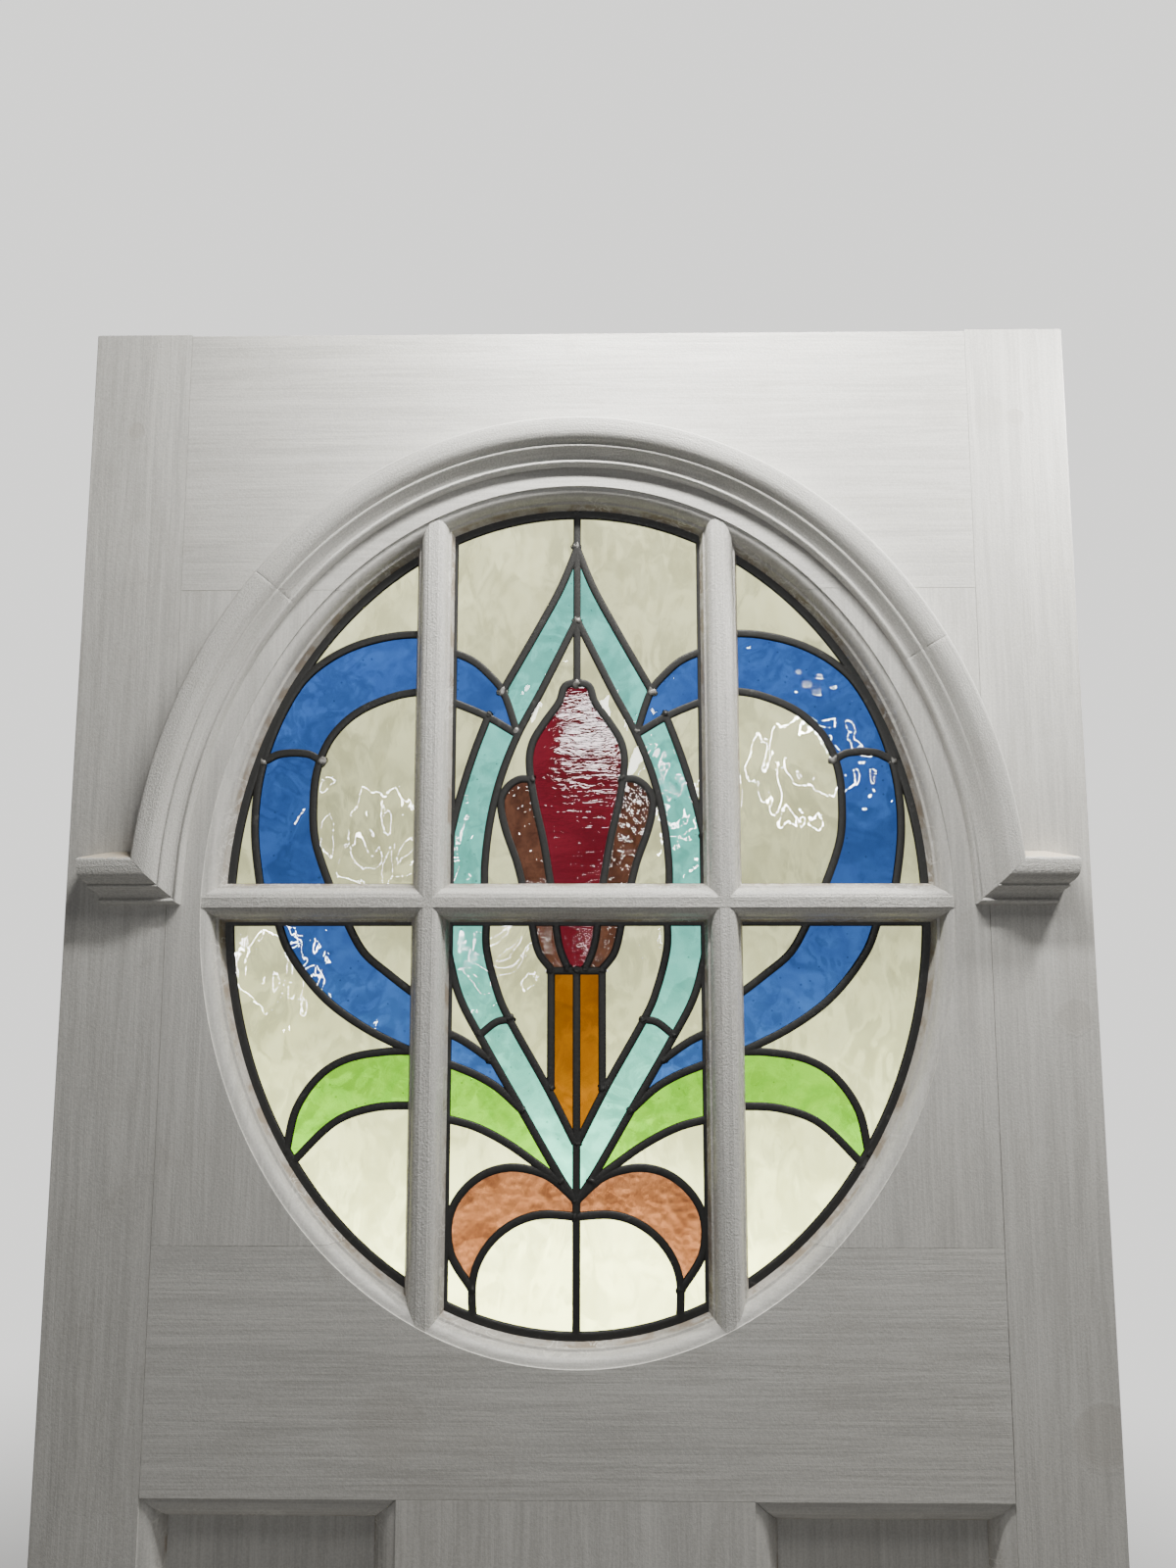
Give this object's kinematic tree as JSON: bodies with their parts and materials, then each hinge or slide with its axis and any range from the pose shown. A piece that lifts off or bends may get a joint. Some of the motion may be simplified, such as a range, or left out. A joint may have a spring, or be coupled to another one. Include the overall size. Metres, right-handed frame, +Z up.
{
  "type": "stained glass front door",
  "caption": "Painted timber entrance door with an oval leaded glass window of tulips and leaves under a hood mould, over two sunk panels.",
  "frame": {"origin": "middle of the hinge edge, on its face", "axes": "+Z up, +X along the door's width away from the hinge edge, -Y out of the outside face"},
  "size_m": [0.914, 0.0678, 2.1355],
  "materials": {
    "painted_timber": "old warm grey-white brush paint, satin, worn and patched",
    "hood_timber": "grey-white brush paint, weathered, chipped at the ears",
    "lead": "dull dark oxidised lead with brighter solder at the joints",
    "clear_glass": "clear drawn glass with waves, faintly straw coloured",
    "blue_glass": "seedy, deep blue",
    "turquoise_glass": "pale turquoise, streaky",
    "red_glass": "smooth ruby red",
    "brown_glass": "mottled brown",
    "amber_glass": "amber, streaky",
    "green_glass": "seedy, leaf green",
    "rose_glass": "hammered, rose brown with dark mottling"
  },
  "bodies": {
    "root": {"hinge_stile": "painted_timber", "lock_stile": "painted_timber", "top_rail": "painted_timber", "lock_rail": "painted_timber", "bottom_rail": "painted_timber", "centre_muntin": "painted_timber", "left_cheek": "painted_timber", "right_cheek": "painted_timber", "left_panel": "painted_timber", "right_panel": "painted_timber", "level_bar": "painted_timber", "left_bar": "painted_timber", "right_bar": "painted_timber", "hood_arch": "hood_timber", "hood_return_left": "hood_timber", "hood_return_right": "hood_timber", "upper_left_bead": "painted_timber", "upper_middle_bead": "painted_timber", "upper_right_bead": "painted_timber", "lower_left_bead": "painted_timber", "lower_middle_bead": "painted_timber", "lower_right_bead": "painted_timber", "upper_left_leads": "lead", "upper_middle_leads": "lead", "upper_right_leads": "lead", "lower_left_leads": "lead", "lower_middle_leads": "lead", "lower_right_leads": "lead", "bud_glass": "red_glass", "bud_tip_glass": "red_glass", "sweep_upper_glass_left": "blue_glass", "sweep_upper_glass_right": "blue_glass", "sweep_lower_glass_left": "blue_glass", "sweep_lower_glass_right": "blue_glass", "wing_glass_left": "blue_glass", "wing_glass_right": "blue_glass", "band_glass_left": "blue_glass", "band_glass_right": "blue_glass", "wing_tip_glass_left": "blue_glass", "wing_tip_glass_right": "blue_glass", "flame_upper_glass_left": "turquoise_glass", "flame_upper_glass_right": "turquoise_glass", "flame_lower_glass_left": "turquoise_glass", "flame_lower_glass_right": "turquoise_glass", "flame_foot_glass_left": "turquoise_glass", "flame_foot_glass_right": "turquoise_glass", "flame_root_glass_left": "turquoise_glass", "flame_root_glass_right": "turquoise_glass", "sepal_glass_left": "brown_glass", "sepal_glass_right": "brown_glass", "sepal_tip_glass_left": "brown_glass", "sepal_tip_glass_right": "brown_glass", "stem_glass_left": "amber_glass", "stem_glass_right": "amber_glass", "leaf_glass_left": "green_glass", "leaf_glass_right": "green_glass", "leaf_inner_glass_left": "green_glass", "leaf_inner_glass_right": "green_glass", "curl_glass_left": "rose_glass", "curl_glass_right": "rose_glass"}
  },
  "joints": []
}
